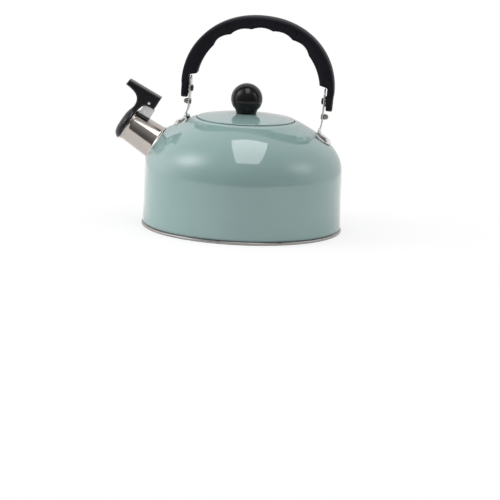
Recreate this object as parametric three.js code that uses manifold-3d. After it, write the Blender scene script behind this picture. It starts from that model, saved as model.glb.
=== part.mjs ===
// Stovetop whistling kettle: an enamelled steel body with a polished spout, a spring-loaded
// whistle cap on a thumb lever, a lift-off lid with a ball knob and a folding arched handle.
// Millimetres, +Z up. The origin is the centre of the base, and the spout points along -X.

import * as THREE from 'three';
import { mergeVertices } from 'three/addons/utils/BufferGeometryUtils.js';
import Module from 'manifold-3d';

const wasm = await Module();
wasm.setup();

// ---- driving dimensions ----------------------------------------------------------------

const GAP = 0.3; // clearance kept between neighbouring pieces
const SHEET = 0.6; // thickness of the drawn steel
const ROUND = 40; // facets round the body and the lid
const SMALL_ROUND = 16; // facets round screws, pins and studs

const RIM_RADIUS = 100; // rolled rim at the foot
const RIM_HEIGHT = 3;
const GROOVE_RADIUS = 68; // pressed ring in the bottom
const WALL_BOTTOM_RADIUS = 98.8;
const WALL_TOP = new THREE.Vector2(97.95, 57.7); // where the straight wall turns into the shoulder
const SHOULDER_PULL = new THREE.Vector2(97.65, 77.4);
const CROWN_PULL = new THREE.Vector2(87.8, 91.0);
const LID_SEAM = new THREE.Vector2(49.3, 109.7); // where the shoulder meets the lid
const SEAT_HEIGHT = 107.4;
const NECK_RADIUS = 45.3;
const NECK_BOTTOM = 100;
const LIP_BOTTOM = 105.5; // the turned-down lip that the mouth collar is welded into

const LID_RADIUS = 48.6;
const LID_CROWN_RADIUS = 241; // radius of the domed lid
const LID_TOP = 115;
const LID_SKIRT_RADIUS = 44.6;
const LID_SKIRT_BOTTOM = 98;
const KNOB_RADIUS = 15.65;
const KNOB_CENTRE = 129.1;
const KNOB_BORE_RADIUS = 4.3;
const INSERT_TOP = 129;
const SCREW_RADIUS = 2.4; // screw that holds the knob

const SPOUT_ANGLE = THREE.MathUtils.degToRad(31.4); // above the horizontal
const SPOUT_MOUTH = new THREE.Vector3(-117.5, 0, 97.4);
const SPOUT_LENGTH = 34.2;
const SPOUT_BASE_RADIUS = 17.2;
const SPOUT_MOUTH_RADIUS = 15.6;
const SPOUT_WALL = 0.7;
const BOSS_RADIUS = 19.4; // flat face of the boss that carries the spout
const BOSS_SLOPE = 1.478; // the boss widens by this much for each millimetre behind its face
const BOSS_DEPTH = 16;

const LEVER_WIDTH = 13;
const LEVER_PIVOT = new THREE.Vector2(-6.3, 29.85); // along the spout, and out from its axis
const LEVER_PIN_RADIUS = 1.25;
const BRACKET_WIDTH = 9.4; // across the ears of the lever bracket
const BRACKET_SHEET = 0.9;
const BRACKET_REAR = -14.4; // ends of the lever bracket along the spout
const BRACKET_FRONT = -2.3;
const BRACKET_WEB = 1.35; // thickness of its front wall, measured along the spout
const SADDLE_SHEET = 1; // curved strip between the lever bracket and the spout
const CAP_RADIUS = 17.4;
const WHISTLE_RADIUS = 12.9;

const HANDLE_CENTRE = new THREE.Vector3(10.2, 0, 134); // middle of the handle's pivot axis
const HANDLE_TILT = THREE.MathUtils.degToRad(2.6); // the spout side stands higher
const HANDLE_DEPTH = 22;
const ARCH_CENTRE = 7.5; // height of the arch's centre above the pivot axis
const ARCH_OUTER = new THREE.Vector2(75.9, 70.6);
const ARCH_INNER = new THREE.Vector2(61.7, 57.8);
const SCALLOPS = 5;
const SCALLOP_DEPTH = 1.7; // of the middle one; the outer ones are deeper
const SCALLOP_START = THREE.MathUtils.degToRad(38); // first scallop, on the rear side
const SCALLOP_END = THREE.MathUtils.degToRad(142.5);

const STRAP_SHEET = 1.2; // thickness of the handle brackets
const STRAP_WIDTH = 16;
const STRAP_U = 66.8; // distance of each strap from the handle's middle
const STRAP_TOP = 12; // height of each strap above the pivot axis
const HEEL_LIFT = 1; // how far the heel of a bracket's pad stands off the shoulder
const STUD_DROP = { front: 13.3, rear: 15.4 }; // stop studs below the pivot axis
const LUG_INNER_U = 69;
const LUG_OUTER_U = 75.7;
const LUG_END_RADIUS = 9.5;
const PIVOT_HOLE_RADIUS = 2.2;
const PAD_HALF_WIDTH = 14;

const STEEL = { color: 0xc9c6c1, roughness: 0.22, metalness: 1 };
const ENAMEL = { color: 0x93b7ae, roughness: 0.18, metalness: 0 };
const BLACK_SATIN = { color: 0x1b1a1d, roughness: 0.5, metalness: 0 };
const BLACK_GLOSS = { color: 0x0c0c0d, roughness: 0.12, metalness: 0 };
const BRASS = { color: 0xb59a56, roughness: 0.35, metalness: 1 };

// ---- small helpers ---------------------------------------------------------------------

function v2(x, y) {
  return new THREE.Vector2(x, y);
}

function solidOf(geometry) {
  const bare = new THREE.BufferGeometry();
  bare.setAttribute('position', geometry.getAttribute('position'));
  bare.setIndex(geometry.index);
  const merged = mergeVertices(bare, 1e-4);
  const vertProperties = new Float32Array(merged.getAttribute('position').array);
  const triVerts = new Uint32Array(merged.index.array);
  return new wasm.Manifold(new wasm.Mesh({ numProp: 3, vertProperties, triVerts }));
}

function geometryOf(solid) {
  const mesh = solid.getMesh();
  const geometry = new THREE.BufferGeometry();
  geometry.setAttribute('position', new THREE.BufferAttribute(mesh.vertProperties, mesh.numProp));
  geometry.setIndex(new THREE.BufferAttribute(mesh.triVerts, 1));
  geometry.computeVertexNormals();
  return geometry;
}

function named(name, solid, finish) {
  const mesh = new THREE.Mesh(geometryOf(solid), new THREE.MeshStandardMaterial(finish));
  mesh.name = name;
  return mesh;
}

// A profile of (radius, height) points, counterclockwise, turned about +Z.
function turnedUp(points, segments = ROUND) {
  return new THREE.LatheGeometry(points, segments).rotateX(Math.PI / 2);
}

// The same profile turned about +X, with its heights along +X.
function turnedAlong(points, segments = SMALL_ROUND) {
  return new THREE.LatheGeometry(points, segments).rotateZ(-Math.PI / 2);
}

// A shape drawn in X and Z, given a depth across Y and centred on Y = 0.
function acrossY(shape, depth, bevel = 0) {
  const geometry = new THREE.ExtrudeGeometry(shape, {
    depth: depth - 2 * bevel,
    bevelEnabled: bevel > 0,
    bevelSize: bevel,
    bevelThickness: bevel,
    bevelOffset: -bevel,
    bevelSegments: 1,
    curveSegments: 8,
  });
  return geometry.translate(0, 0, bevel - depth / 2).rotateX(Math.PI / 2);
}

// A shape drawn in Y and Z, swept a long way along X as a cutting mask.
function sweptAlongX(shape) {
  const depth = 200;
  const geometry = new THREE.ExtrudeGeometry(shape, { depth, bevelEnabled: false, curveSegments: 10 });
  return solidOf(geometry.translate(0, 0, -depth / 2).rotateX(Math.PI / 2).rotateZ(Math.PI / 2));
}

// The polyline moved sideways to its left by a distance, with mitred corners.
function offsetLine(points, distance) {
  return points.map((point, i) => {
    const before = points[Math.max(i - 1, 0)];
    const after = points[Math.min(i + 1, points.length - 1)];
    const arriving = (i > 0 ? point.clone().sub(before) : after.clone().sub(point)).normalize();
    const leaving = (i < points.length - 1 ? after.clone().sub(point) : arriving.clone()).normalize();
    const normal = v2(-arriving.y - leaving.y, arriving.x + leaving.x).normalize();
    const stretch = 1 / Math.max(normal.dot(v2(-arriving.y, arriving.x)), 0.4);
    return point.clone().addScaledVector(normal, distance * stretch);
  });
}

// The closed profile of a sheet whose outer face follows the polyline.
function sheetProfile(points, thickness) {
  const inner = offsetLine(points, thickness).reverse();
  return [...points, ...inner, points[0].clone()];
}

// ---- frames of the spout and of the handle ------------------------------------------------

const spoutAxis = new THREE.Vector3(-Math.cos(SPOUT_ANGLE), 0, Math.sin(SPOUT_ANGLE));
const spoutUp = new THREE.Vector3(Math.sin(SPOUT_ANGLE), 0, Math.cos(SPOUT_ANGLE));
const spoutFrame = new THREE.Matrix4()
  .makeBasis(spoutAxis, spoutUp, new THREE.Vector3(0, 1, 0))
  .setPosition(SPOUT_MOUTH);
const handleFrame = new THREE.Matrix4().makeRotationY(HANDLE_TILT).setPosition(HANDLE_CENTRE);

function groupIn(frame) {
  const group = new THREE.Group();
  frame.decompose(group.position, group.quaternion, group.scale);
  return group;
}

// A point given in the handle's frame, as world X and Z.
function fromHandle(u, w) {
  const point = new THREE.Vector3(u, 0, w).applyMatrix4(handleFrame);
  return v2(point.x, point.z);
}

// ---- body ----------------------------------------------------------------------------------

const shoulder = new THREE.CubicBezierCurve(WALL_TOP, SHOULDER_PULL, CROWN_PULL, LID_SEAM);

// The point of the shoulder at a given radius, lifted off its surface.
function onShoulder(radius, lift) {
  let low = 0;
  let high = 1;
  for (let i = 0; i < 30; i += 1) {
    const middle = (low + high) / 2;
    if (shoulder.getPoint(middle).x > radius) low = middle;
    else high = middle;
  }
  const tangent = shoulder.getTangent(low);
  return shoulder.getPoint(low).add(v2(tangent.y, -tangent.x).multiplyScalar(lift));
}

function bodyOutline() {
  return [
    v2(WALL_BOTTOM_RADIUS, RIM_HEIGHT + GAP),
    ...shoulder.getPoints(9),
    v2(LID_SEAM.x - 0.2, LIP_BOTTOM),
  ];
}

// The drawn boss round the spout, moved back along the spout for its inner face.
function bossSolid(shift) {
  const face = -SPOUT_LENGTH - shift;
  const profile = [
    v2(0, face - BOSS_DEPTH),
    v2(BOSS_RADIUS + BOSS_SLOPE * BOSS_DEPTH, face - BOSS_DEPTH),
    v2(BOSS_RADIUS + BOSS_SLOPE * 0.4, face - 0.4),
    v2(BOSS_RADIUS - 0.6, face),
    v2(0, face),
  ];
  return solidOf(turnedAlong(profile, 40).applyMatrix4(spoutFrame));
}

// The highest line of the boss, a given depth behind its face and lifted off its surface.
function onBoss(depth, lift) {
  const away = new THREE.Vector2(1, BOSS_SLOPE).normalize();
  const along = -SPOUT_LENGTH - depth + lift * away.y;
  const out = BOSS_RADIUS + BOSS_SLOPE * depth + lift * away.x;
  const point = new THREE.Vector3(along, out, 0).applyMatrix4(spoutFrame);
  return v2(point.x, point.z);
}

// A round solid on the spout's axis.
function spoutPlug(radius, from, to) {
  const profile = [v2(0, from), v2(radius, from), v2(radius, to), v2(0, to)];
  return solidOf(turnedAlong(profile, 40).applyMatrix4(spoutFrame));
}

// The body with its boss, as a full solid whose skin lies a given distance inside the outside.
function bodySolid(inset) {
  const outline = inset > 0 ? offsetLine(bodyOutline(), inset) : bodyOutline();
  outline[0].y -= inset;
  outline[outline.length - 1].y += inset;
  const profile = [v2(0, outline[0].y), ...outline, v2(0, outline[outline.length - 1].y)];
  const pocket = spoutPlug(BOSS_RADIUS + inset, -SPOUT_LENGTH - inset, 0);
  return solidOf(turnedUp(profile)).add(bossSolid(inset)).subtract(pocket);
}

function bodyShell() {
  const bore = spoutPlug(SPOUT_BASE_RADIUS - 0.6, -SPOUT_LENGTH - 4, 0);
  return bodySolid(0).subtract(bodySolid(SHEET)).subtract(bore);
}

// The ring inside the lip: a flat seat for the lid and a straight neck for its skirt.
function mouthCollar() {
  const outside = LID_SEAM.x - 0.2 - GAP;
  const outline = [
    v2(outside, LIP_BOTTOM),
    v2(outside, SEAT_HEIGHT),
    v2(NECK_RADIUS + 0.6, SEAT_HEIGHT),
    v2(NECK_RADIUS, SEAT_HEIGHT - 0.6),
    v2(NECK_RADIUS, NECK_BOTTOM),
  ];
  return solidOf(turnedUp(sheetProfile(outline, SHEET)));
}

function basePan() {
  const groove = [
    v2(GROOVE_RADIUS - 1.6, 0),
    v2(GROOVE_RADIUS - 0.8, 0.5),
    v2(GROOVE_RADIUS + 0.8, 0.5),
    v2(GROOVE_RADIUS + 1.6, 0),
  ];
  const underside = [v2(0, 0), ...groove, v2(RIM_RADIUS - 1.2, 0)];
  const rim = [
    v2(RIM_RADIUS - 0.3, 0.6),
    v2(RIM_RADIUS, 1.5),
    v2(RIM_RADIUS - 0.4, 2.6),
    v2(RIM_RADIUS - 1.3, RIM_HEIGHT),
    v2(RIM_RADIUS - 2.4, RIM_HEIGHT),
    v2(RIM_RADIUS - 2.4, 7),
    v2(RIM_RADIUS - 3, 7),
    v2(RIM_RADIUS - 3, 2),
    v2(RIM_RADIUS - 4.2, SHEET),
  ];
  const topside = groove.map((point) => v2(point.x, point.y + SHEET)).reverse();
  return solidOf(turnedUp([...underside, ...rim, ...topside, v2(0, SHEET)]));
}

// ---- lid -----------------------------------------------------------------------------------

function crownHeight(radius) {
  return LID_TOP - LID_CROWN_RADIUS + Math.sqrt(LID_CROWN_RADIUS ** 2 - radius ** 2);
}

function lidShell() {
  const outline = [v2(LID_RADIUS, SEAT_HEIGHT + 0.5)];
  for (const radius of [LID_RADIUS, 38, 24, 12, SCREW_RADIUS + 0.5]) {
    outline.push(v2(radius, crownHeight(radius)));
  }
  return solidOf(turnedUp(sheetProfile(outline, SHEET)));
}

function lidSkirt() {
  const top = SEAT_HEIGHT + 1.1;
  return solidOf(turnedUp([
    v2(LID_SKIRT_RADIUS, LID_SKIRT_BOTTOM),
    v2(LID_SKIRT_RADIUS, top - SHEET),
    v2(LID_RADIUS - 1, top - SHEET),
    v2(LID_RADIUS - 1, top),
    v2(LID_SKIRT_RADIUS - SHEET, top),
    v2(LID_SKIRT_RADIUS - SHEET, LID_SKIRT_BOTTOM),
    v2(LID_SKIRT_RADIUS, LID_SKIRT_BOTTOM),
  ]));
}

const KNOB_BASE = LID_TOP + GAP;

function lidKnob() {
  const profile = [
    v2(KNOB_BORE_RADIUS, KNOB_BASE),
    v2(10, KNOB_BASE),
    v2(10.2, KNOB_BASE + 1.2),
    v2(11.2, KNOB_BASE + 3.2),
  ];
  const neckAngle = THREE.MathUtils.degToRad(-40);
  const steps = 12;
  for (let i = 0; i <= steps; i += 1) {
    const angle = THREE.MathUtils.lerp(neckAngle, Math.PI / 2, i / steps);
    profile.push(v2(KNOB_RADIUS * Math.cos(angle), KNOB_CENTRE + KNOB_RADIUS * Math.sin(angle)));
  }
  profile[profile.length - 1].x = 0;
  profile.push(v2(0, INSERT_TOP + GAP), v2(KNOB_BORE_RADIUS, INSERT_TOP + GAP), profile[0].clone());
  return solidOf(turnedUp(profile, 24));
}

// A ring about +Z, between two radii and two heights.
function ringSolid(inner, outer, from, to) {
  const profile = [v2(outer, from), v2(outer, to), v2(inner, to), v2(inner, from), v2(outer, from)];
  return solidOf(turnedUp(profile, SMALL_ROUND));
}

function knobInsert() {
  return ringSolid(SCREW_RADIUS + GAP, KNOB_BORE_RADIUS - GAP, KNOB_BASE + GAP, INSERT_TOP);
}

function knobWasher() {
  return ringSolid(SCREW_RADIUS + GAP, 7.5, LID_TOP - 2, LID_TOP - 1);
}

function knobScrew() {
  const headTop = LID_TOP - 2.4;
  const tip = INSERT_TOP - 3;
  return solidOf(turnedUp([
    v2(0, headTop - 2.3),
    v2(3.6, headTop - 2.3),
    v2(4.4, headTop - 1.5),
    v2(4.4, headTop),
    v2(SCREW_RADIUS, headTop),
    v2(SCREW_RADIUS, tip),
    v2(0, tip),
  ], SMALL_ROUND));
}

// ---- spout, whistle and lever, drawn in the spout's frame: X out of the mouth, Y up from it ----

function spoutOutline(grow) {
  const root = -SPOUT_LENGTH;
  return [
    v2(SPOUT_BASE_RADIUS - 1 + grow, root - 5),
    v2(SPOUT_BASE_RADIUS - 1 + grow, root + GAP),
    v2(BOSS_RADIUS - 0.9 + grow, root + GAP),
    v2(BOSS_RADIUS - 0.9 + grow, root + 1.2),
    v2(SPOUT_BASE_RADIUS + grow, root + 2.4),
    v2(SPOUT_MOUTH_RADIUS + grow, -2.6),
    v2(SPOUT_MOUTH_RADIUS + 0.8 + grow, -1),
    v2(SPOUT_MOUTH_RADIUS + 0.5 + grow, 0),
  ];
}

function spoutTube() {
  const bore = [
    v2(SPOUT_MOUTH_RADIUS - SPOUT_WALL, 0),
    v2(SPOUT_MOUTH_RADIUS - SPOUT_WALL, -2.6),
    v2(SPOUT_BASE_RADIUS - 1 - SPOUT_WALL, -SPOUT_LENGTH),
    v2(SPOUT_BASE_RADIUS - 1 - SPOUT_WALL, -SPOUT_LENGTH - 5),
  ];
  const outline = spoutOutline(0);
  return solidOf(turnedAlong([...outline, ...bore, outline[0].clone()], 40));
}

function crossPin(radius, length) {
  return new THREE.CylinderGeometry(radius, radius, length, SMALL_ROUND)
    .rotateX(Math.PI / 2)
    .translate(LEVER_PIVOT.x, LEVER_PIVOT.y, 0);
}

// A shape drawn along and up from the spout, given a width across it.
function acrossSpout(shape, width, bevel = 0) {
  return new THREE.ExtrudeGeometry(shape, {
    depth: width - 2 * bevel,
    bevelEnabled: bevel > 0,
    bevelSize: bevel,
    bevelThickness: bevel,
    bevelOffset: -bevel,
    bevelSegments: 1,
    curveSegments: 6,
  }).translate(0, 0, bevel - width / 2);
}

// The spout's outside grown by a distance, as a full solid.
function sleeveSolid(grow) {
  const outline = spoutOutline(grow);
  return solidOf(turnedAlong([v2(0, outline[0].y), ...outline, v2(0, 0)], 40));
}

function bracketSaddle() {
  const block = new THREE.BoxGeometry(13.4, 12, 16).translate(-7.9, 16, 0);
  return solidOf(block).intersect(sleeveSolid(GAP + SADDLE_SHEET)).subtract(sleeveSolid(GAP));
}

// A folded channel, open at the back, with rounded ears that hold the pin.
function leverBracket() {
  const ear = new THREE.Shape();
  ear.moveTo(BRACKET_REAR, 12);
  ear.lineTo(BRACKET_FRONT, 12);
  ear.lineTo(BRACKET_FRONT - 0.3, 18);
  ear.lineTo(BRACKET_FRONT - 0.6, 25.5);
  ear.absarc(LEVER_PIVOT.x, LEVER_PIVOT.y, 3.8, -0.5, Math.PI, false);
  ear.lineTo(BRACKET_REAR, 25.4);
  ear.closePath();
  const channelFront = BRACKET_FRONT - BRACKET_WEB;
  const channel = new THREE.Shape();
  channel.moveTo(-21, 5);
  channel.lineTo(channelFront, 5);
  channel.lineTo(channelFront - 0.3, 18);
  channel.lineTo(channelFront - 0.6, 25);
  channel.lineTo(5, 25);
  channel.lineTo(5, 40);
  channel.lineTo(-21, 40);
  channel.closePath();
  return solidOf(acrossSpout(ear, BRACKET_WIDTH))
    .subtract(solidOf(acrossSpout(channel, BRACKET_WIDTH - 2 * BRACKET_SHEET)))
    .subtract(sleeveSolid(2 * GAP + SADDLE_SHEET))
    .subtract(solidOf(crossPin(LEVER_PIN_RADIUS + GAP, 20)));
}

function leverOutline() {
  const shape = new THREE.Shape();
  shape.moveTo(0.8, -6);
  shape.lineTo(6.8, -6);
  shape.lineTo(7.0, 12);
  shape.bezierCurveTo(5.4, 16.5, 4.6, 19.5, 5.4, 23.4);
  shape.bezierCurveTo(6.6, 29.2, 11.4, 32.2, 23.7, 32.7);
  shape.lineTo(23.2, 38.6);
  shape.lineTo(-13.2, 40.9);
  shape.lineTo(-13.4, 27.2);
  shape.lineTo(-5.2, 26.3);
  shape.quadraticCurveTo(-1.6, 24.2, -0.8, 18.8);
  shape.lineTo(0.8, 14);
  shape.closePath();
  return shape;
}

function capSolid() {
  const profile = [
    v2(0, 0.5),
    v2(CAP_RADIUS - 0.4, 0.5),
    v2(CAP_RADIUS, 1.2),
    v2(17, 3),
    v2(15.6, 5),
    v2(13, 6.8),
    v2(8.5, 7.9),
    v2(0, 8.2),
  ];
  return solidOf(turnedAlong(profile, 32));
}

// The room cut in the lever for the ears of its bracket and for the spring.
function slotSolid() {
  const front = BRACKET_FRONT + 0.9;
  const slot = new THREE.Shape();
  slot.moveTo(-30, 5);
  slot.lineTo(front, 5);
  slot.lineTo(front, 32);
  slot.lineTo(front - 2.3, 35.4);
  slot.lineTo(-30, 35.4);
  slot.closePath();
  return solidOf(acrossSpout(slot, BRACKET_WIDTH + 0.8));
}

function roundHole(radius, from, to) {
  return solidOf(turnedAlong([v2(0, from), v2(radius, from), v2(radius, to), v2(0, to)], 24));
}

function whistleLever() {
  return solidOf(acrossSpout(leverOutline(), LEVER_WIDTH, 1.2))
    .add(capSolid())
    .subtract(slotSolid())
    .subtract(roundHole(WHISTLE_RADIUS + 0.4, -1, 3.9))
    .subtract(roundHole(4.5, 0, 20))
    .subtract(solidOf(crossPin(LEVER_PIN_RADIUS + GAP, 20)));
}

function whistleCup() {
  return solidOf(turnedAlong([
    v2(2, -4.6),
    v2(WHISTLE_RADIUS - 0.5, -4.6),
    v2(WHISTLE_RADIUS, -4.1),
    v2(WHISTLE_RADIUS, 3.5),
    v2(WHISTLE_RADIUS - 0.5, 3.5),
    v2(WHISTLE_RADIUS - 0.5, -4.1),
    v2(2, -4.1),
    v2(2, -4.6),
  ], 32));
}

function whistlePlate() {
  const rim = WHISTLE_RADIUS - 0.5 - GAP;
  return solidOf(turnedAlong([v2(2, 1.6), v2(rim, 1.6), v2(rim, 2.2), v2(2, 2.2), v2(2, 1.6)], 24));
}

function leverSpring() {
  const turns = 3.5;
  const coilRadius = 2.5;
  const halfLength = 2.2;
  const wireRadius = 0.35;
  const points = [new THREE.Vector3(-11.5, 20.9, -halfLength)];
  const steps = 12 * turns;
  for (let i = 0; i <= steps; i += 1) {
    const angle = THREE.MathUtils.degToRad(-90) - (2 * Math.PI * turns * i) / steps;
    points.push(new THREE.Vector3(
      LEVER_PIVOT.x + coilRadius * Math.cos(angle),
      LEVER_PIVOT.y + coilRadius * Math.sin(angle),
      THREE.MathUtils.lerp(-halfLength, halfLength, i / steps),
    ));
  }
  points.push(new THREE.Vector3(-12.5, 34, halfLength));
  const wire = new THREE.Shape();
  wire.absarc(0, 0, wireRadius, 0, 2 * Math.PI, false);
  const extrudePath = new THREE.CatmullRomCurve3(points);
  return solidOf(new THREE.ExtrudeGeometry(wire, { steps: 70, curveSegments: 3, extrudePath }));
}

// ---- handle and its brackets ------------------------------------------------------------------

function archPoint(axes, exponent, angle, inset) {
  const c = Math.cos(angle);
  const s = Math.sin(angle);
  const radius = (Math.abs(c / axes.x) ** exponent + Math.abs(s / axes.y) ** exponent) ** (-1 / exponent);
  return v2((radius + inset) * c, ARCH_CENTRE + (radius + inset) * s);
}

// The finger scallops, as a rise of the inner edge: nothing at each cusp, full between two.
function scallopRise(angle) {
  const along = (SCALLOPS * (angle - SCALLOP_START)) / (SCALLOP_END - SCALLOP_START);
  if (along <= 0 || along >= SCALLOPS) return 0;
  const fraction = along - Math.floor(along);
  const depth = SCALLOP_DEPTH * (1 + Math.cos(angle) ** 2);
  return depth * 4 * fraction * (1 - fraction);
}

// The inner edge of the arch, from the rear lug over to the front one.
function innerEdge() {
  const legEnd = THREE.MathUtils.degToRad(8);
  const stretches = [
    [legEnd, SCALLOP_START, 4],
    [SCALLOP_START, SCALLOP_END, SCALLOPS * 5],
    [SCALLOP_END, Math.PI - legEnd, 4],
  ];
  const points = [archPoint(ARCH_INNER, 2, legEnd, 0)];
  for (const [from, to, steps] of stretches) {
    for (let i = 1; i <= steps; i += 1) {
      const angle = THREE.MathUtils.lerp(from, to, i / steps);
      points.push(archPoint(ARCH_INNER, 2, angle, scallopRise(angle)));
    }
  }
  return points;
}

// The handle seen along its pivot axis, in Y and Z, swept along X.
function lugMask() {
  const half = HANDLE_DEPTH / 2;
  const shape = new THREE.Shape();
  shape.moveTo(half + 1, 100);
  shape.lineTo(-half - 1, 100);
  shape.lineTo(-half - 1, 17);
  shape.lineTo(-half, 15);
  shape.lineTo(-LUG_END_RADIUS, 1);
  shape.absarc(0, 0, LUG_END_RADIUS, Math.PI, 2 * Math.PI, false);
  shape.lineTo(LUG_END_RADIUS, 1);
  shape.lineTo(half, 15);
  shape.lineTo(half + 1, 17);
  shape.closePath();
  return sweptAlongX(shape);
}

function handleGrip() {
  const outer = [];
  const outerSteps = 30;
  for (let i = 0; i <= outerSteps; i += 1) {
    outer.push(archPoint(ARCH_OUTER, 2.1, (Math.PI * i) / outerSteps, 0));
  }
  const foot = -HANDLE_DEPTH / 2;
  const lug = [v2(LUG_OUTER_U - 0.8, foot), v2(LUG_OUTER_U, -1)];
  const step = [v2(LUG_INNER_U, foot), v2(LUG_INNER_U, 14)];
  const mirrored = (points) => points.map((point) => v2(-point.x, point.y));
  const shape = new THREE.Shape([
    ...lug,
    ...outer,
    ...mirrored(lug).reverse(),
    ...mirrored(step),
    ...innerEdge().reverse(),
    ...step.reverse(),
  ]);
  let grip = solidOf(acrossY(shape, HANDLE_DEPTH, 1.5)).intersect(lugMask());
  const reach = LUG_OUTER_U - 1.8;
  const hole = [v2(0, 60), v2(PIVOT_HOLE_RADIUS, 60), v2(PIVOT_HOLE_RADIUS, reach), v2(0, reach)];
  for (const side of [-1, 1]) grip = grip.subtract(solidOf(onPivot(hole, side)));
  return grip;
}

// The outline of a handle bracket in Y and Z: a round-topped strap that widens into a rounded pad.
function bracketMask(top, neck, end) {
  const half = STRAP_WIDTH / 2;
  const wide = PAD_HALF_WIDTH;
  const shape = new THREE.Shape();
  shape.moveTo(half, neck + 6);
  shape.lineTo(half, top - half);
  shape.absarc(0, top - half, half, 0, Math.PI, false);
  shape.lineTo(-half, neck + 6);
  shape.quadraticCurveTo(-half, neck - 1, -wide, neck - 3);
  shape.bezierCurveTo(-wide, end + 2, -wide / 2, end, 0, end);
  shape.bezierCurveTo(wide / 2, end, wide, end + 2, wide, neck - 3);
  shape.quadraticCurveTo(half, neck - 1, half, neck + 6);
  return sweptAlongX(shape);
}

// One handle bracket: a strap up to the pivot and a pad that lies along the body.
function strapBracket(side, studDrop, bend, pad) {
  const strapTop = fromHandle(side * STRAP_U, STRAP_TOP);
  const strapLow = fromHandle(side * STRAP_U, -20);
  const line = [strapTop, strapLow, bend, ...pad];
  const left = offsetLine(line, STRAP_SHEET / 2);
  const right = offsetLine(line, -STRAP_SHEET / 2).reverse();
  const strip = solidOf(acrossY(new THREE.Shape([...left, ...right]), 2 * PAD_HALF_WIDTH + 4));
  const mask = bracketMask(strapTop.y + 1, pad[0].y, pad[pad.length - 1].y - 1);
  let bracket = strip.intersect(mask);
  const holeProfile = [v2(0, 50), v2(PIVOT_HOLE_RADIUS, 50), v2(PIVOT_HOLE_RADIUS, 90), v2(0, 90)];
  for (const drop of [0, studDrop]) {
    const hole = onPivot(holeProfile, side).translate(0, 0, -drop).applyMatrix4(handleFrame);
    bracket = bracket.subtract(solidOf(hole));
  }
  return bracket;
}

const PAD_LIFT = GAP + STRAP_SHEET / 2;

// The front pad lies on the spout's boss, and the rear pad on the shoulder.
function frontBracket() {
  const pad = [onBoss(11.6, PAD_LIFT + HEEL_LIFT), onBoss(10, PAD_LIFT), onBoss(4.4, PAD_LIFT)];
  return strapBracket(-1, STUD_DROP.front, v2(-60.6, 110.4), pad);
}

function rearBracket() {
  const pad = [onShoulder(71.2, PAD_LIFT + HEEL_LIFT)];
  for (const radius of [73.6, 79, 84.5]) pad.push(onShoulder(radius, PAD_LIFT));
  return strapBracket(1, STUD_DROP.rear, v2(74.3, 103.0), pad);
}

// Turned pieces on the handle's axis, drawn for the rear side and turned round for the front.
function onPivot(profile, side) {
  const geometry = turnedAlong(profile);
  if (side < 0) geometry.rotateY(Math.PI);
  return geometry;
}

const STRAP_OUT = STRAP_U + STRAP_SHEET / 2;
const STRAP_IN = STRAP_U - STRAP_SHEET / 2;

function pivotScrew(side) {
  const shank = PIVOT_HOLE_RADIUS - GAP;
  const head = STRAP_IN - GAP;
  const tip = LUG_OUTER_U - 2.2;
  return solidOf(onPivot([
    v2(0, head - 2),
    v2(2.2, head - 2),
    v2(3.3, head - 1.2),
    v2(3.3, head),
    v2(shank, head),
    v2(shank, tip),
    v2(0, tip),
  ], side));
}

function pivotWasher(side) {
  const hole = PIVOT_HOLE_RADIUS;
  const near = STRAP_OUT + GAP;
  const far = LUG_INNER_U - GAP;
  const profile = [v2(hole, near), v2(5.5, near), v2(5.5, far), v2(hole, far), v2(hole, near)];
  return solidOf(onPivot(profile, side));
}

function stopStud(side, drop) {
  const shank = PIVOT_HOLE_RADIUS - GAP;
  const near = STRAP_OUT + GAP;
  const tail = STRAP_IN - GAP;
  const geometry = onPivot([
    v2(0, tail - 0.9),
    v2(2.8, tail - 0.9),
    v2(2.8, tail),
    v2(shank, tail),
    v2(shank, near),
    v2(2.8, near),
    v2(2.8, near + 2.4),
    v2(2.1, near + 4),
    v2(0, near + 4.7),
  ], side);
  return solidOf(geometry.translate(0, 0, -drop));
}

// ---- assembly ------------------------------------------------------------------------------------

const kettle = new THREE.Group();

kettle.add(
  named('body_shell', bodyShell(), ENAMEL),
  named('mouth_collar', mouthCollar(), STEEL),
  named('base_pan', basePan(), STEEL),
  named('lid_shell', lidShell(), ENAMEL),
  named('lid_skirt', lidSkirt(), STEEL),
  named('lid_knob', lidKnob(), BLACK_GLOSS),
  named('knob_insert', knobInsert(), BRASS),
  named('knob_washer', knobWasher(), STEEL),
  named('knob_screw', knobScrew(), STEEL),
  named('front_bracket', frontBracket(), STEEL),
  named('rear_bracket', rearBracket(), STEEL),
);

const spoutGroup = groupIn(spoutFrame);
spoutGroup.add(
  named('spout_tube', spoutTube(), STEEL),
  named('bracket_saddle', bracketSaddle(), BLACK_SATIN),
  named('lever_bracket', leverBracket(), STEEL),
  named('lever_pin', solidOf(crossPin(LEVER_PIN_RADIUS, LEVER_WIDTH + 0.8)), STEEL),
  named('lever_spring', leverSpring(), STEEL),
  named('whistle_lever', whistleLever(), BLACK_GLOSS),
  named('whistle_cup', whistleCup(), STEEL),
  named('whistle_plate', whistlePlate(), STEEL),
);
kettle.add(spoutGroup);

const handleGroup = groupIn(handleFrame);
handleGroup.add(named('handle_grip', handleGrip(), BLACK_SATIN));
for (const [name, side] of [['front', -1], ['rear', 1]]) {
  handleGroup.add(
    named(`${name}_pivot_screw`, pivotScrew(side), STEEL),
    named(`${name}_pivot_washer`, pivotWasher(side), STEEL),
    named(`${name}_stop_stud`, stopStud(side, STUD_DROP[name]), STEEL),
  );
}
kettle.add(handleGroup);

export default kettle;
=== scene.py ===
import math

import bpy
import numpy as np
from mathutils import Matrix, Vector


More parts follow.
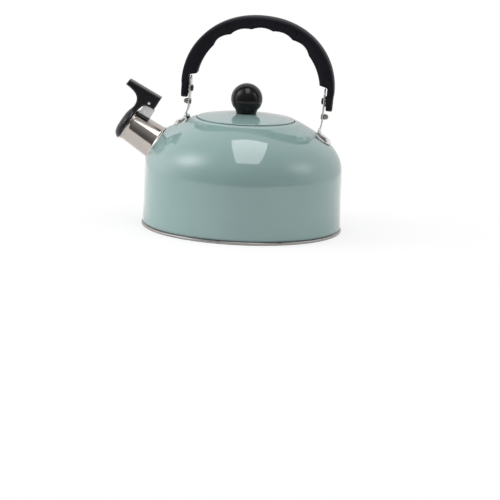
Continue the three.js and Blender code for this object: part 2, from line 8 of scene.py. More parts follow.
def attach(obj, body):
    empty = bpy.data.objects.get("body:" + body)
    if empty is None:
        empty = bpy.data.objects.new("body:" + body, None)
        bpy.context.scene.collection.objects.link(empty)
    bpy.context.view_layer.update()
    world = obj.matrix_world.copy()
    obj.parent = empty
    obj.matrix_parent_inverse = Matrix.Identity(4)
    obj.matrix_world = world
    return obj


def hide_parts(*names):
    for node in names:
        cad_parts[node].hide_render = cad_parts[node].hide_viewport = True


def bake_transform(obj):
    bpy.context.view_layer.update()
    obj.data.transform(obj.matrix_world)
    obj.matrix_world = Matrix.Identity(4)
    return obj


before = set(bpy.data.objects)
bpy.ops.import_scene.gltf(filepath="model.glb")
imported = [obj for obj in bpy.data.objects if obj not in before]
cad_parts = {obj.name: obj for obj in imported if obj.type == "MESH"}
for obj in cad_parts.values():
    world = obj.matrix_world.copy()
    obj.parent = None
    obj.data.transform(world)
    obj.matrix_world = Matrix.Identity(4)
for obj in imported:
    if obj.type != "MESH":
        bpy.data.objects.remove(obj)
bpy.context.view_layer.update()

# Shapes are worked out in millimetres, +Z up, with the spout along -X, and scaled to metres.
MM = 0.001

# Sheet metal, and the gap between pieces that are fastened together.
SHEET = 0.6
GAP = 0.3

# The body. Points are (radius, height).
RIM_RADIUS = 100.0
WALL_BOTTOM = (98.8, 3.3)
SHOULDER = ((97.95, 57.7), (97.65, 77.4), (87.8, 91.0), (49.3, 109.7))
SEAT_HEIGHT = 107.4
NECK_RADIUS = 45.3
NECK_BOTTOM = 100.0
LIP_BOTTOM = 105.5
LIP_RADIUS = 49.1

# The lid and its knob.
LID_RADIUS = 48.6
LID_TOP = 115.0
LID_CROWN_RADIUS = 241.0
KNOB_RADIUS = 15.65
KNOB_CENTRE = 129.1

# The spout, and the boss on the body that carries it.
SPOUT_ANGLE = math.radians(31.4)
SPOUT_MOUTH = Vector((-117.5, 0.0, 97.4))
SPOUT_LENGTH = 34.2
# (along, radius) of the tube's outside, from its foot to the roll of its lip.
SPOUT_OUTSIDE = ((-31.8, 17.2), (-2.8, 15.6), (-1.3, 16.3))
BOSS_RADIUS = 19.4
BOSS_SLOPE = 1.478
BOSS_DEPTH = 16.0
BOSS_BLEND = 3.0
# The lever's pivot, along the spout from its mouth and up from its axis.
LEVER_PIVOT = (-6.3, 29.85)

# The handle. U runs along it from its centre and W up from its pivots.
HANDLE_CENTRE = Vector((10.2, 0.0, 134.0))
HANDLE_TILT = math.radians(2.6)
HANDLE_HALF_DEPTH = 11.0
ARCH_CENTRE = 7.5
ARCH_OUTER = (75.9, 70.6)
ARCH_INNER = (61.7, 57.8)
SCALLOPS = 5
SCALLOP_DEPTH = 1.7
SCALLOP_START = math.radians(38)
SCALLOP_END = math.radians(142.5)
LUG_INNER_U = 69.0
LUG_OUTER_U = 75.7
LUG_END_RADIUS = 9.5
LUG_TOP = 15.0

# The straps that carry the handle, their pads, and the stop studs below the pivots.
STRAP_U = 66.8
STRAP_SHEET = 1.2
STRAP_HALF_WIDTH = 8.0
PAD_HALF_WIDTH = 14.0
STUD_DROP = {"front": 13.3, "rear": 15.4}

# Two points closer than this are one.
TINY = 1e-6

# ---- frames ----------------------------------------------------------------------------------

SPOUT_AXIS = Vector((-math.cos(SPOUT_ANGLE), 0.0, math.sin(SPOUT_ANGLE)))
SPOUT_UP = Vector((math.sin(SPOUT_ANGLE), 0.0, math.cos(SPOUT_ANGLE)))


def matrix_of(x_axis, y_axis, z_axis, origin):
    columns = Matrix((x_axis, y_axis, z_axis)).transposed().to_4x4()
    return Matrix.Translation(origin) @ columns


# Along the spout, up from it, and across it.
SPOUT_FRAME = matrix_of(SPOUT_AXIS, SPOUT_UP, Vector((0, 1, 0)), SPOUT_MOUTH)
HANDLE_FRAME = Matrix.Translation(HANDLE_CENTRE) @ Matrix.Rotation(HANDLE_TILT, 4, "Y")
# Turns a shape made about Z so that it is made about X.
Z_TO_X = Matrix(((0, 0, 1, 0), (1, 0, 0, 0), (0, 1, 0, 0), (0, 0, 0, 1)))
ABOUT_SPOUT = SPOUT_FRAME @ Z_TO_X

# ---- mesh helpers ----------------------------------------------------------------------------


def assign(piece, body, node_name):
    """Hides the CAD node that a piece stands for, and hangs the piece from the body that it rides."""
    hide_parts(node_name)
    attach(piece, body)


def add_piece(name, verts, faces, body, node_name, finish, slot, matrix=None, sharp=35.0):
    """A smooth-shaded mesh piece, given in millimetres, that stands for a CAD node."""
    mesh = bpy.data.meshes.new(name)
    mesh.from_pydata([tuple(map(float, v)) for v in verts], [], faces)
    if matrix is not None:
        mesh.transform(matrix)
    mesh.transform(Matrix.Scale(MM, 4))
    mesh.validate()
    mesh.polygons.foreach_set("use_smooth", [True] * len(mesh.polygons))
    mesh.set_sharp_from_angle(angle=math.radians(sharp))
    mesh.materials.append(finish)
    piece = bpy.data.objects.new(name, mesh)
    bpy.context.scene.collection.objects.link(piece)
    assign(piece, body, node_name)
    return piece


def filleted(points, radius, steps=4):
    """The polyline with each inner corner rounded, by less than half of each side beside it."""
    longest_share = 0.48
    points = [Vector(p) for p in points]
    line = [points[0]]
    for before, corner, after in zip(points, points[1:], points[2:]):
        to_before = before - corner
        to_after = after - corner
        reach = min(radius, longest_share * to_before.length, longest_share * to_after.length)
        start = corner + to_before.normalized() * reach
        end = corner + to_after.normalized() * reach
        for i in range(steps + 1):
            t = i / steps
            line.append(start * (1 - t) ** 2 + corner * (2 * t * (1 - t)) + end * t * t)
    line.append(points[-1])
    return line


def ring_loop(points, radius, steps=3):
    """A closed outline with every corner rounded; the last point repeats the first."""
    points = [Vector(p) for p in points]
    middle = (points[0] + points[1]) / 2
    return filleted([middle, *points[1:], points[0], middle], radius, steps)


def rounded_corners(points, radius):
    """The polyline with only its sharp corners rounded."""
    sharpest_kept = math.radians(35)
    shortest_side = 1e-4
    line = [points[0]]
    for before, here, after in zip(points, points[1:], points[2:]):
        if (here - before).length < shortest_side or (after - here).length < shortest_side:
            continue
        if (here - before).angle(after - here) < sharpest_kept:
            line.append(here)
        else:
            line += filleted([before, here, after], radius, 5)[1:-1]
    line.append(points[-1])
    return line


def lathe(profile, segments):
    """Vertices and faces of a (radius, height) profile turned about Z."""
    closed = (Vector(profile[0]) - Vector(profile[-1])).length < TINY
    if closed:
        profile = profile[:-1]
    verts = []
    rows = []
    for radius, height in profile:
        if radius < TINY:
            rows.append([len(verts)] * segments)
            verts.append((0.0, 0.0, height))
            continue
        rows.append(list(range(len(verts), len(verts) + segments)))
        for i in range(segments):
            angle = 2 * math.pi * i / segments
            verts.append((radius * math.cos(angle), radius * math.sin(angle), height))
    faces = []
    following = rows[1:] + rows[:1] if closed else rows[1:]
    for low, high in zip(rows, following):
        for i in range(segments):
            j = (i + 1) % segments
            # At a pole, corners fall together and the quad becomes a triangle.
            face = list(dict.fromkeys([low[i], low[j], high[j], high[i]]))
            if len(face) > 2:
                faces.append(face)
    return verts, faces


def add_turned(name, profile, segments, body, node_name, finish, slot, **options):
    """A piece turned about Z from a (radius, height) profile."""
    verts, faces = lathe(profile, segments)
    add_piece(name, verts, faces, body, node_name, finish, slot, **options)


def grid_faces(rows, columns, wrap_columns=False, base=0, flip=False):
    """Quads of a grid whose vertices run row by row."""
    faces = []
    for r in range(rows - 1):
        low = base + r * columns
        high = low + columns
        for c in range(columns if wrap_columns else columns - 1):
            c2 = (c + 1) % columns
            face = [low + c, low + c2, high + c2, high + c]
            faces.append(face[::-1] if flip else face)
    return faces


def plate_faces(rows, columns):
    """Faces of a thin plate: two equal grids, one after the other, and the edge between them."""
    count = rows * columns
    border = list(range(columns))
    border += [r * columns + columns - 1 for r in range(1, rows)]
    border += [(rows - 1) * columns + c for c in range(columns - 2, -1, -1)]
    border += [r * columns for r in range(rows - 2, 0, -1)]
    edge = [[b, a, a + count, b + count] for a, b in zip(border, border[1:] + border[:1])]
    return grid_faces(rows, columns) + grid_faces(rows, columns, base=count, flip=True) + edge


def smoothstep(low, high, x):
    t = np.clip((np.asarray(x, float) - low) / (high - low), 0, 1)
    return t * t * (3 - 2 * t)


def bezier(points, t):
    a, b, c, d = (np.array(p, float) for p in points)
    t = np.asarray(t, float)[..., None]
    return a * (1 - t) ** 3 + 3 * b * t * (1 - t) ** 2 + 3 * c * t * t * (1 - t) + d * t**3


def resampled(line, count):
    """Points spaced evenly along a polyline, and how far along it each one lies."""
    line = np.array([tuple(p) for p in line], float)
    steps = np.linalg.norm(np.diff(line, axis=0), axis=1)
    along = np.concatenate([[0], np.cumsum(steps)])
    at = np.linspace(0, along[-1], count)
    return np.stack([np.interp(at, along, line[:, k]) for k in range(line.shape[1])], 1), at


# ---- finishes --------------------------------------------------------------------------------

# The dark colour of painted shade, put in crevices where surfaces lie close together.
PAINTED_SHADE_COLOUR = (0.015, 0.022, 0.021)
COAT_ROUGHNESS = 0.04
BUMP_HEIGHT = 0.0002


def node(tree, kind, **inputs):
    """A new shader node; an input's name has _ for each space."""
    made = tree.nodes.new(kind)
    for key, value in inputs.items():
        made.inputs[key.replace("_", " ")].default_value = value
    return made


def noise(tree, scale, detail=3.0, stretch=None):
    """A noise in object space, in features per metre, stretched if wanted."""
    where = tree.nodes.new("ShaderNodeTexCoord").outputs["Object"]
    if stretch is not None:
        mapping = node(tree, "ShaderNodeMapping", Scale=stretch)
        tree.links.new(where, mapping.inputs["Vector"])
        where = mapping.outputs["Vector"]
    made = node(tree, "ShaderNodeTexNoise", Scale=scale, Detail=detail)
    tree.links.new(where, made.inputs["Vector"])
    return made.outputs["Fac"]


def spread(tree, value, low, high, from_low=0.3, from_high=0.7):
    """The value mapped from one range to another, and held at its ends."""
    made = node(tree, "ShaderNodeMapRange", From_Min=from_low, From_Max=from_high, To_Min=low, To_Max=high)
    tree.links.new(value, made.inputs["Value"])
    return made.outputs["Result"]


def mixed(tree, factor, first, second):
    """A blend of two colours, each of them three numbers or a socket."""
    made = tree.nodes.new("ShaderNodeMix")
    made.data_type = "RGBA"
    for key, colour in (("A", first), ("B", second)):
        if isinstance(colour, tuple):
            made.inputs[key].default_value = (*colour, 1)
        else:
            tree.links.new(colour, made.inputs[key])
    tree.links.new(factor, made.inputs["Factor"])
    return made.outputs["Result"]


def with_worn_edges(tree, colour, wear):
    """The colour, going over to the wear colour along convex edges."""
    edges = tree.nodes.new("ShaderNodeNewGeometry").outputs["Pointiness"]
    return mixed(tree, spread(tree, edges, 0.0, 0.7, 0.53, 0.62), colour, wear)


def with_painted_crevice_shade(tree, colour, reach):
    """The colour, darkened with painted shade where another surface lies within reach."""
    shade = node(tree, "ShaderNodeAmbientOcclusion", Distance=reach)
    return mixed(tree, spread(tree, shade.outputs["AO"], 0.0, 1.0, 0.40, 0.92), PAINTED_SHADE_COLOUR, colour)


def make_finish(name, colour, other_colour, *, metallic, roughness, bump, bump_scale, colour_scale=40.0,
                wear=None, stretch=None, coat=0.0, specular=0.5, painted_shade_reach=None):
    """A finish whose colour and roughness vary a little, with fine bumps, worn edges and, where a reach is
    given, painted shade in crevices.
    """
    material = bpy.data.materials.new(name)
    material.use_nodes = True
    tree = material.node_tree
    shader = tree.nodes["Principled BSDF"]
    shader.inputs["Metallic"].default_value = metallic
    shader.inputs["Coat Weight"].default_value = coat
    shader.inputs["Coat Roughness"].default_value = COAT_ROUGHNESS
    shader.inputs["Specular IOR Level"].default_value = specular
    patches = noise(tree, colour_scale)
    result = mixed(tree, spread(tree, patches, 0, 1), colour, other_colour)
    if wear is not None:
        result = with_worn_edges(tree, result, wear)
    if painted_shade_reach is not None:
        result = with_painted_crevice_shade(tree, result, painted_shade_reach)
    tree.links.new(result, shader.inputs["Base Color"])
    smears = noise(tree, bump_scale * 0.3, 4.0, stretch)
    tree.links.new(spread(tree, smears, *roughness), shader.inputs["Roughness"])
    grain = noise(tree, bump_scale, 5.0, stretch)
    relief = node(tree, "ShaderNodeBump", Strength=bump, Distance=BUMP_HEIGHT)
    tree.links.new(grain, relief.inputs["Height"])
    tree.links.new(relief.outputs["Normal"], shader.inputs["Normal"])
    return material


# The enamel carries painted shade where surfaces lie close, which darkens the seam round the lid.
ENAMEL = make_finish(
    "sage_enamel", (0.245, 0.362, 0.352), (0.232, 0.347, 0.337), metallic=0.0, roughness=(0.035, 0.06),
    bump=0.010, bump_scale=260.0, colour_scale=25.0, coat=0.45, painted_shade_reach=0.0018,
)
STEEL = make_finish(
    "polished_steel", (0.53, 0.485, 0.455), (0.49, 0.45, 0.42), metallic=1.0, roughness=(0.11, 0.15),
    bump=0.015, bump_scale=500.0,
)
# The straps' steel is paler and less metallic than polished steel: painted light on straps that face the dim
# front. It is also darkened with painted shade where surfaces lie close.
LIGHTENED_BRACKET_STEEL = make_finish(
    "bracket_steel_with_painted_light_and_shade", (0.84, 0.83, 0.82), (0.78, 0.77, 0.76), metallic=0.5, roughness=(0.18, 0.24),
    bump=0.02, bump_scale=500.0, painted_shade_reach=0.0035,
)
# Steel for the lever's bracket and pin, made pale and barely metallic: painted light that makes these steel
# parts look bright.
LIGHTENED_STEEL = make_finish(
    "pale_steel_with_painted_light", (0.92, 0.91, 0.90), (0.87, 0.86, 0.85), metallic=0.15, roughness=(0.22, 0.30),
    bump=0.02, bump_scale=500.0,
)
# A dark, mottled steel painted on the pads' flanks as shade beside the rib.
FLANK_SHADE_STEEL = make_finish(
    "flank_steel_with_painted_shade", (0.10, 0.095, 0.09), (0.24, 0.23, 0.22), metallic=1.0, roughness=(0.16, 0.26),
    bump=0.05, bump_scale=500.0, colour_scale=180.0,
)
RIM_STEEL = make_finish(
    "rolled_rim_steel", (0.44, 0.42, 0.41), (0.38, 0.365, 0.35), metallic=1.0, roughness=(0.25, 0.36),
    bump=0.06, bump_scale=500.0,
)
BRUSHED = make_finish(
    "brushed_steel", (0.56, 0.55, 0.53), (0.48, 0.47, 0.45), metallic=1.0, roughness=(0.28, 0.38),
    bump=0.12, bump_scale=900.0, stretch=(1.0, 8.0, 1.0),
)
STUD_STEEL = make_finish(
    "stud_steel", (0.36, 0.33, 0.31), (0.29, 0.27, 0.25), metallic=1.0, roughness=(0.25, 0.35),
    bump=0.08, bump_scale=900.0,
)
DARK_SCREW = make_finish(
    "blackened_screw", (0.07, 0.068, 0.066), (0.10, 0.095, 0.09), metallic=1.0, roughness=(0.30, 0.42),
    bump=0.1, bump_scale=900.0,
)
BRASS = make_finish(
    "brass", (0.70, 0.52, 0.26), (0.62, 0.46, 0.22), metallic=1.0, roughness=(0.28, 0.38),
    bump=0.1, bump_scale=900.0,
)
SATIN_BLACK = make_finish(
    "satin_black_plastic", (0.009, 0.009, 0.013), (0.012, 0.012, 0.016), metallic=0.0,
    roughness=(0.46, 0.54), bump=0.10, bump_scale=1500.0, wear=(0.012, 0.012, 0.016), specular=0.10,
)
GLOSS_BLACK = make_finish(
    "gloss_black_plastic", (0.006, 0.006, 0.006), (0.009, 0.009, 0.009), metallic=0.0,
    roughness=(0.15, 0.21), bump=0.04, bump_scale=600.0, specular=0.30,
)
LEVER_BLACK = make_finish(
    "moulded_black_plastic", (0.006, 0.006, 0.009), (0.009, 0.009, 0.012), metallic=0.0,
    roughness=(0.24, 0.32), bump=0.06, bump_scale=900.0, wear=(0.022, 0.022, 0.026), specular=0.35,
)
# Black painted on the strip under the lever bracket: a painted reflection of the lever in it.
LEVER_REFLECTION_BLACK = make_finish(
    "dark_strip", (0.010, 0.010, 0.010), (0.018, 0.017, 0.016), metallic=0.0, roughness=(0.35, 0.5),
    bump=0.1, bump_scale=600.0,
)

# ---- body ------------------------------------------------------------------------------------


def profile_distance(radius, height, outline):
    """Signed distance in the (radius, height) plane to a closed outline, negative inside."""
    points = np.stack([radius, height], -1)
    best = np.full(radius.shape, 1e9)
    inside = np.zeros(radius.shape, bool)
    for a, b in zip(outline, np.roll(outline, -1, axis=0)):
        edge = b - a
        away = points - a
        along = np.clip(away @ edge / (edge @ edge), 0, 1)
        best = np.minimum(best, np.linalg.norm(away - along[..., None] * edge, axis=-1))
        crosses = (a[1] > height) != (b[1] > height)
        with np.errstate(divide="ignore", invalid="ignore"):
            where = a[0] + (height - a[1]) * edge[0] / np.where(edge[1] == 0, 1e-9, edge[1])
        inside ^= crosses & (radius < where)
    return np.where(inside, -best, best)


def softer_min(a, b, width):
    """The smaller of two distances, blended where they differ by less than the width."""
    h = np.clip(0.5 + 0.5 * (b - a) / width, 0, 1)
    return b * (1 - h) + a * h - width * h * (1 - h)


def along_and_out(points):
    """How far points lie along the spout's axis, from its mouth, and how far out from that axis."""
    away = points - np.array(SPOUT_MOUTH)
    along = away @ np.array(SPOUT_AXIS)
    return along, np.linalg.norm(away - along[:, None] * np.array(SPOUT_AXIS), axis=1)


def boss_distance(points):
    """Signed distance to the cone that carries the spout."""
    along, out = along_and_out(points)
    past_root = along + SPOUT_LENGTH
    cone = (out - BOSS_RADIUS + BOSS_SLOPE * past_root) / math.hypot(1, BOSS_SLOPE)
    front = -softer_min(-cone, -past_root, 1.0)
    return np.maximum(front, -(past_root + BOSS_DEPTH))


def body_outline():
    """(radius, height) points of the wall and shoulder, and of the lip that turns down into the mouth."""
    wall = np.linspace(0, 1, 22)[:, None] * (np.array(SHOULDER[0]) - WALL_BOTTOM) + WALL_BOTTOM
    shoulder = bezier(SHOULDER, np.linspace(0, 1, 74)[1:])
    # The shoulder dips a little beside the lid, which leaves a dark line under the lid's edge.
    dip = 0.8
    dip_width = 5
    shoulder[:, 1] -= dip * (1 - smoothstep(LIP_RADIUS, LIP_RADIUS + dip_width, shoulder[:, 0]))
    lip = np.array([(LIP_RADIUS + 0.05, 108.7), (LIP_RADIUS, 108.2), (LIP_RADIUS, LIP_BOTTOM)])
    return np.concatenate([wall, shoulder]), lip


def turned_towards_spout(outline, segments):
    """The outline turned about Z, with its segments closer together on the spout's side."""
    turn = np.linspace(-1, 1, segments, endpoint=False)
    angle = np.tile(math.pi + math.pi * (0.3 * turn + 0.7 * turn**3), len(outline))
    radius = np.repeat(outline[:, 0], segments)
    height = np.repeat(outline[:, 1], segments)
    return np.stack([radius * np.cos(angle), radius * np.sin(angle), height], 1)


def pushed_out(points, outside):
    """Points of the body's outside, moved to where the boss rises smoothly out of it."""
    centre = np.array([-40.0, 0.0, 60.0])
    furthest = 45.0
    halvings = 26
    solid = np.concatenate([[[0, outside[0][1]]], outside, [[0, outside[-1][1]]]])
    heading = points - centre
    heading /= np.linalg.norm(heading, axis=1)[:, None]
    low = np.zeros(len(points))
    high = np.full(len(points), furthest)
    for _ in range(halvings):
        middle = (low + high) / 2
        at = points + middle[:, None] * heading
        body = profile_distance(np.hypot(at[:, 0], at[:, 1]), at[:, 2], solid)
        inside = softer_min(body, boss_distance(at), BOSS_BLEND) < 0
        low = np.where(inside, middle, low)
        high = np.where(inside, high, middle)
    return points + low[:, None] * heading


def build_body():
    """The enamelled shell, with its boss drawn out of the shoulder and opened for the spout."""
    segments = 260
    bore_radius = 17.0
    bore_face_depth = 1.5
    outside, lip = body_outline()
    outline = np.concatenate([outside, lip])
    points = turned_towards_spout(outline, segments)
    on_outside = np.arange(len(points)) < len(outside) * segments
    near_boss = on_outside & (boss_distance(points) < BOSS_BLEND)
    points[near_boss] = pushed_out(points[near_boss], outside)
    along, out = along_and_out(points)
    in_bore = (out < bore_radius) & (np.abs(along + SPOUT_LENGTH) < bore_face_depth)
    faces = [f for f in grid_faces(len(outline), segments, wrap_columns=True) if not all(in_bore[f])]
    kept = sorted({i for f in faces for i in f})
    index = {old: new for new, old in enumerate(kept)}
    faces = [[index[i] for i in f] for f in faces]
    shell = add_piece("enamelled_body", points[kept], faces, "kettle", "body_shell", ENAMEL, "enamel")
    thicken = shell.modifiers.new("sheet", "SOLIDIFY")
    thicken.thickness = SHEET * MM
    thicken.offset = -1.0


def build_collar():
    """The ring in the mouth that the lid sits on."""
    outside = LIP_RADIUS - GAP
    top = SEAT_HEIGHT
    profile = ring_loop([
        (outside, LIP_BOTTOM), (outside, top), (NECK_RADIUS, top), (NECK_RADIUS, NECK_BOTTOM),
        (NECK_RADIUS + SHEET, NECK_BOTTOM), (NECK_RADIUS + SHEET, top - SHEET),
        (outside - SHEET, top - SHEET), (outside - SHEET, LIP_BOTTOM),
    ], 0.6)
    add_turned("mouth_seat_ring", profile, 160, "kettle", "mouth_collar", BRUSHED, "brushed_steel")


def build_base():
    """The bottom pan: a shallow ring groove, a rolled rim, and a wall that stands inside the body."""
    groove = 68.0
    groove_depth = 0.5
    wall = 97.6
    wall_top = 7.0
    bottom = [
        (0, 0), (groove - 1.6, 0), (groove - 0.8, groove_depth),
        (groove + 0.8, groove_depth), (groove + 1.6, 0),
    ]
    rim = [(98.8, 0), (99.7, 0.4), (RIM_RADIUS, 1.4), (99.8, 2.5), (98.9, 3.0), (wall, 3.0)]
    inner_wall = [(wall, wall_top), (wall - SHEET, wall_top), (wall - SHEET, 2.0), (95.8, SHEET)]
    upper_side = [(radius, height + SHEET) for radius, height in reversed(bottom)]
    profile = filleted([*bottom, *rim, *inner_wall, *upper_side], 0.7, 3)
    add_turned("base_and_rim", profile, 192, "kettle", "base_pan", RIM_STEEL, "polished_steel")


# ---- lid -------------------------------------------------------------------------------------


def crown_height(radius):
    return LID_TOP - LID_CROWN_RADIUS + math.sqrt(LID_CROWN_RADIUS**2 - radius**2)


def build_lid():
    """The dome, with its edge turned down and a hole for the knob's screw."""
    hole = 2.9
    bend = 0.9
    crown_edge = 46
    edge = LID_RADIUS - 0.25
    edge_bottom = 108.9
    outside = [(edge, edge_bottom)]
    outside += [(edge - bend + bend * math.cos(a), crown_height(edge - bend) - bend + bend * math.sin(a))
                for a in np.linspace(0, math.pi / 2, 7)]
    outside += [(r, crown_height(r)) for r in np.linspace(crown_edge, hole, 24)]
    inside = [(r, crown_height(r) - SHEET) for r in np.linspace(hole, crown_edge, 16)]
    inside += [(edge - SHEET, edge_bottom + GAP), (edge - SHEET, edge_bottom)]
    profile = [*outside, *inside, outside[0]]
    add_turned("lid_dome", profile, 192, "lid", "lid_shell", ENAMEL, "enamel")


def build_skirt():
    """The steel ring under the lid: a flange below the dome and a wall that drops into the mouth."""
    wall = 44.6
    bottom = 98.0
    flange = LID_RADIUS - 1
    top = SEAT_HEIGHT + 1.1
    profile = ring_loop([
        (wall, bottom), (wall, top - SHEET), (flange, top - SHEET),
        (flange, top), (wall - SHEET, top), (wall - SHEET, bottom),
    ], 0.5, 2)
    add_turned("lid_skirt_ring", profile, 128, "lid", "lid_skirt", BRUSHED, "brushed_steel")


def build_knob():
    """The ball on its short neck, with a socket from below for the threaded insert."""
    base = LID_TOP + GAP
    socket = 4.3
    socket_top = 129.3
    ball_start = math.radians(-30)
    neck = [(socket, base), (10.0, base), (10.4, base + 0.4)]
    throat = [(10.35, base + 1.0), (10.6, base + 2.0), (11.2, base + 3.2), (12.05, base + 4.4)]
    ball = [(KNOB_RADIUS * math.cos(a), KNOB_CENTRE + KNOB_RADIUS * math.sin(a))
            for a in np.linspace(ball_start, math.pi / 2, 40)]
    ball[-1] = (0, ball[-1][1])
    profile = [*neck, *throat, *ball, (0, socket_top), (socket, socket_top), neck[0]]
    add_turned("ball_knob", profile, 96, "lid", "lid_knob", GLOSS_BLACK, "gloss_black", sharp=50)


def build_knob_hardware():
    """What holds the knob: a threaded insert in it, and a washer and a screw under the lid."""
    hole = 2.7
    insert = ring_loop([(4.0, 115.6), (4.0, 129.0), (hole, 129.0), (hole, 115.6)], 0.3, 2)
    add_turned("knob_thread_insert", insert, 48, "lid", "knob_insert", BRASS, "brass")
    washer = ring_loop([(7.5, 113.0), (7.5, 114.0), (hole, 114.0), (hole, 113.0)], 0.25, 2)
    add_turned("knob_flat_washer", washer, 64, "lid", "knob_washer", BRUSHED, "brushed_steel")
    shank = 2.4
    head = 4.4
    recess = 1.5
    screw = filleted([
        (0, 111.2), (recess, 111.2), (1.7, 110.3), (3.4, 110.3), (head, 111.2), (head, 112.6),
        (shank, 112.6), (shank, 126.0), (0, 126.0),
    ], 0.4, 3)
    add_turned("knob_fixing_screw", screw, 48, "lid", "knob_screw", BRUSHED, "brushed_steel")


# ---- spout, whistle and lever ----------------------------------------------------------------


def build_spout():
    """The tube, with a flange welded to the boss at its root and a rolled lip at its mouth."""
    root = -SPOUT_LENGTH
    bore = 15.5
    inner_end = root - 5
    taper = [(radius, along) for along, radius in SPOUT_OUTSIDE]
    profile = ring_loop([
        (16.2, inner_end), (16.2, root + GAP), (18.5, root + GAP), (18.6, root + 1.1), *taper,
        (16.4, -0.5), (16.0, 0.0), (14.9, -0.2), (14.9, -2.6), (bore, root), (bore, inner_end),
    ], 0.7, 4)
    add_turned("spout_barrel", profile, 128, "kettle", "spout_tube", STEEL, "polished_steel",
               matrix=ABOUT_SPOUT, sharp=45)


def build_saddle():
    """A thin strip that follows the top of the spout under the lever bracket, coloured black as a painted
    reflection of the black lever above it.
    """
    thickness = 1.0
    half_swing = 0.5
    stations = np.linspace(-14.6, -1.6, 14)
    swing = np.linspace(-half_swing, half_swing, 17)
    taper_along, taper_radius = zip(*SPOUT_OUTSIDE)
    verts = []
    for lift in (GAP + thickness, GAP):
        for t in stations:
            radius = np.interp(t, taper_along, taper_radius) + lift
            verts += [(t, radius * math.cos(a), radius * math.sin(a)) for a in swing]
    faces = plate_faces(len(stations), len(swing))
    add_piece("bracket_saddle_strip", verts, faces, "kettle", "bracket_saddle", LEVER_REFLECTION_BLACK, "dark_strip",
              SPOUT_FRAME)


def build_pin():
    end = 6.9
    radius = 1.25
    profile = filleted([(0, -end), (radius, -end), (radius, end), (0, end)], 0.5, 4)
    place = SPOUT_FRAME @ Matrix.Translation((*LEVER_PIVOT, 0))
    add_turned("lever_pivot_pin", profile, 48, "kettle", "lever_pin", LIGHTENED_STEEL, "polished_steel", matrix=place)


def copied_node(node_name, name, finish):
    """A new object with a CAD node's own mesh, in another finish."""
    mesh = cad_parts[node_name].data.copy()
    mesh.materials.clear()
    mesh.materials.append(finish)
    piece = bpy.data.objects.new(name, mesh)
    bpy.context.scene.collection.objects.link(piece)
    return piece


def build_lever():
    """The thumb lever with its cap: the CAD solid with its facets and edges melted smooth."""
    piece = copied_node("whistle_lever", "thumb_lever_and_cap", LEVER_BLACK)
    grid = piece.modifiers.new("grid", "REMESH")
    grid.mode = "VOXEL"
    grid.voxel_size = 0.33 * MM
    grid.use_smooth_shade = True
    melt = piece.modifiers.new("melt", "SMOOTH")
    melt.factor = 0.5
    melt.iterations = 5
    graph = bpy.context.evaluated_depsgraph_get()
    melted = bpy.data.meshes.new_from_object(piece.evaluated_get(graph), depsgraph=graph)
    piece.modifiers.clear()
    piece.data = melted
    assign(piece, "whistle", "whistle_lever")


def build_lever_bracket():
    """The folded bracket: the CAD solid with its edges broken."""
    piece = copied_node("lever_bracket", "folded_lever_bracket", LIGHTENED_STEEL)
    bevel = piece.modifiers.new("edges", "BEVEL")
    bevel.width = 0.2 * MM
    bevel.segments = 2
    bevel.limit_method = "ANGLE"
    bevel.angle_limit = math.radians(30)
    assign(piece, "kettle", "lever_bracket")


def spring_centreline():
    """The wire's foot on the bracket, its turns round the pin and its arm under the lever."""
    turns = 3.5
    steps_per_turn = 24
    coil_radius = 2.5
    half_width = 2.2
    steps = int(steps_per_turn * turns)
    points = [(-11.5, 20.9, -half_width)]
    for i in range(steps + 1):
        angle = -math.pi / 2 - 2 * math.pi * turns * i / steps
        along = LEVER_PIVOT[0] + coil_radius * math.cos(angle)
        up = LEVER_PIVOT[1] + coil_radius * math.sin(angle)
        points.append((along, up, -half_width + 2 * half_width * i / steps))
    points.append((-12.5, 34.0, half_width))
    return resampled(points, 220)[0]


def build_spring():
    """The torsion spring round the pin, from the bracket to the lever."""
    wire_radius = 0.35
    sides = 8
    line = spring_centreline()
    verts = []
    for i, point in enumerate(line):
        ahead = Vector(line[min(i + 1, len(line) - 1)] - line[max(i - 1, 0)]).normalized()
        across = ahead.cross(Vector((0, 0, 1))).normalized()
        over = across.cross(ahead)
        for k in range(sides):
            angle = 2 * math.pi * k / sides
            verts.append(Vector(point) + wire_radius * (across * math.cos(angle) + over * math.sin(angle)))
    faces = grid_faces(len(line), sides, wrap_columns=True, flip=True)
    faces.append(list(range(sides)))
    faces.append([len(verts) - 1 - k for k in range(sides)])
    spring = add_piece("lever_torsion_spring", verts, faces, "kettle", "lever_spring", BRUSHED,
                       "brushed_steel", SPOUT_FRAME)
    spring.parent = None
    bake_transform(spring)


def build_whistle():
    """The pierced cup and plate in the cap that make the sound."""
    hole = 2
    radius = 12.9
    sheet = 0.5
    cup_floor = -4.6
    cup_rim = 3.5
    cup = ring_loop([
        (hole, cup_floor), (radius, cup_floor), (radius, cup_rim), (radius - sheet, cup_rim),
        (radius - sheet, cup_floor + sheet), (hole, cup_floor + sheet),
    ], 0.6)
    add_turned("whistle_cup_shell", cup, 96, "whistle", "whistle_cup", BRUSHED, "brushed_steel",
               matrix=ABOUT_SPOUT)
    plate_radius = radius - 0.8
    plate = ring_loop([(hole, 1.6), (plate_radius, 1.6), (plate_radius, 2.2), (hole, 2.2)], 0.2, 2)
    add_turned("whistle_back_plate", plate, 96, "whistle", "whistle_plate", BRUSHED, "brushed_steel",
               matrix=ABOUT_SPOUT)


# ---- handle ----------------------------------------------------------------------------------

# The arch's section beside its middle plane: (distance from the plane, how far the edge is cut back).
GRIP_SECTION = [
    (4.0, 0.0), (7.2, 0.05), (8.2, 0.4), (9.0, 1.3), (9.8, 3.3), (10.5, 5.3), (10.85, 6.5), (11.0, 7.6),
]


